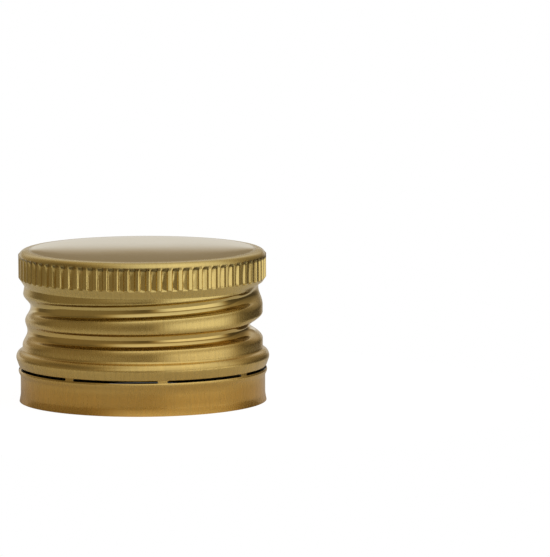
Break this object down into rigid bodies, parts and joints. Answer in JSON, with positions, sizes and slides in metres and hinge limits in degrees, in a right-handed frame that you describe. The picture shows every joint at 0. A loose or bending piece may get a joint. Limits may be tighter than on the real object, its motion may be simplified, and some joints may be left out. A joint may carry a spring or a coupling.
{
  "type": "bottle cap",
  "caption": "Gold aluminium screw closure with a fluted crown, a rolled thread, a tamper band on bridges and a sealing liner inside.",
  "frame": {"origin": "on the closure's axis, in the plane of its rim", "axes": "+Z along the axis from the open mouth to the closed top; -Y is the side that faces the viewer, and +X is to the viewer's right"},
  "size_m": [0.029, 0.029, 0.0174],
  "materials": {
    "gold_shell": "satin gold lacquer outside, olive lacquer inside, bare cut edge at the rim",
    "liner": "matt grey sealing disc"
  },
  "bodies": {
    "root": {"shell": "gold_shell", "liner": "liner"}
  },
  "joints": []
}
